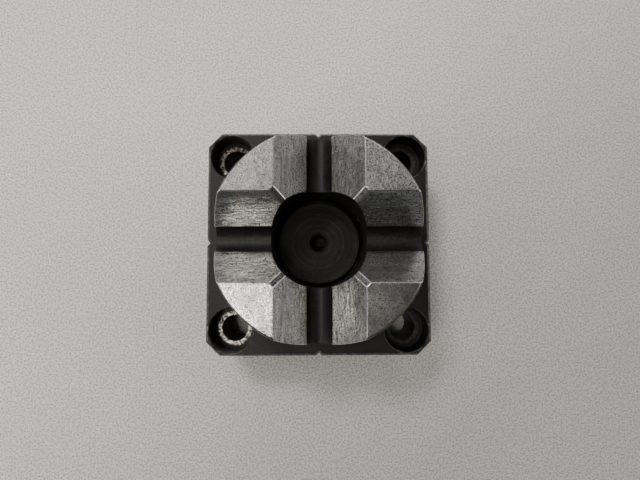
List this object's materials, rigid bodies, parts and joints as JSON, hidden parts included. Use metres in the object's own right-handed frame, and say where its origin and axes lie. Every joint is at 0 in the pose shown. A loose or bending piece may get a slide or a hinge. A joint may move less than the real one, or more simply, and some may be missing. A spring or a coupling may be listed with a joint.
{
  "type": "chuck-type pneumatic gripper",
  "caption": "Square-based pneumatic gripper head: ground V-cross with four pads locates a pallet, and a ring of balls in its centre pocket clamps a pull stud by air and opens by spring.",
  "frame": {"origin": "centre of the housing's flat bottom face", "axes": "+Z along the pocket's axis, out of the mouth; +X and +Y along the two grooves of the cross; the open air port is in the -Y side"},
  "size_m": [0.054, 0.054, 0.038],
  "materials": {
    "black_oxide": "black-oxide steel, satin, with turned and milled marks",
    "ground_steel": "ground tool steel on the pads and flanks, black oxide elsewhere",
    "hardened_steel": "hardened and ground",
    "ball_steel": "polished bearing steel",
    "spring_steel": "drawn wire",
    "seal_rubber": "matte nitrile",
    "guide_plastic": "filled bearing plastic",
    "fastener_steel": "black oxide"
  },
  "bodies": {
    "housing": {"base_housing": "black_oxide", "chuck_head": "ground_steel", "bottom_cover": "black_oxide", "hub_seal": "seal_rubber", "cover_seal": "seal_rubber", "head_screw_1": "fastener_steel", "head_screw_2": "fastener_steel", "head_screw_3": "fastener_steel", "head_screw_4": "fastener_steel", "cover_screw_1": "fastener_steel", "cover_screw_2": "fastener_steel", "cover_screw_3": "fastener_steel", "cover_screw_4": "fastener_steel", "dowel_pin_1": "hardened_steel", "dowel_pin_2": "hardened_steel", "side_port_plug": "fastener_steel", "plug_seal": "seal_rubber", "return_spring": "spring_steel"},
    "piston": {"locking_piston": "black_oxide", "cam_ring": "hardened_steel", "piston_seal": "seal_rubber", "piston_guide_ring": "guide_plastic"},
    "ball_1": {"locking_ball_1": "ball_steel"},
    "ball_2": {"locking_ball_2": "ball_steel"},
    "ball_3": {"locking_ball_3": "ball_steel"},
    "ball_4": {"locking_ball_4": "ball_steel"},
    "ball_5": {"locking_ball_5": "ball_steel"},
    "ball_6": {"locking_ball_6": "ball_steel"}
  },
  "joints": [
    {"name": "piston_slide", "type": "slide", "parent": "housing", "child": "piston", "axis": [0, 0, 1], "range_m": [0, 0.0024], "stiffness_N_per_m": 4000, "springref_m": -0.003, "deforming": ["return_spring"]},
    {"name": "ball_1_slide", "type": "slide", "parent": "housing", "child": "ball_1", "axis": [-0.866, -0.5, 0], "range_m": [0, 0.00096]},
    {"name": "ball_2_slide", "type": "slide", "parent": "housing", "child": "ball_2", "axis": [0, -1, 0], "range_m": [0, 0.00096]},
    {"name": "ball_3_slide", "type": "slide", "parent": "housing", "child": "ball_3", "axis": [0.866, -0.5, 0], "range_m": [0, 0.00096]},
    {"name": "ball_4_slide", "type": "slide", "parent": "housing", "child": "ball_4", "axis": [0.866, 0.5, 0], "range_m": [0, 0.00096]},
    {"name": "ball_5_slide", "type": "slide", "parent": "housing", "child": "ball_5", "axis": [0, 1, 0], "range_m": [0, 0.00096]},
    {"name": "ball_6_slide", "type": "slide", "parent": "housing", "child": "ball_6", "axis": [-0.866, 0.5, 0], "range_m": [0, 0.00096]}
  ],
  "couplings": [
    {"joint": "ball_1_slide", "follows": "piston_slide", "ratio": 0.39583},
    {"joint": "ball_2_slide", "follows": "piston_slide", "ratio": 0.39583},
    {"joint": "ball_3_slide", "follows": "piston_slide", "ratio": 0.39583},
    {"joint": "ball_4_slide", "follows": "piston_slide", "ratio": 0.39583},
    {"joint": "ball_5_slide", "follows": "piston_slide", "ratio": 0.39583},
    {"joint": "ball_6_slide", "follows": "piston_slide", "ratio": 0.39583}
  ]
}
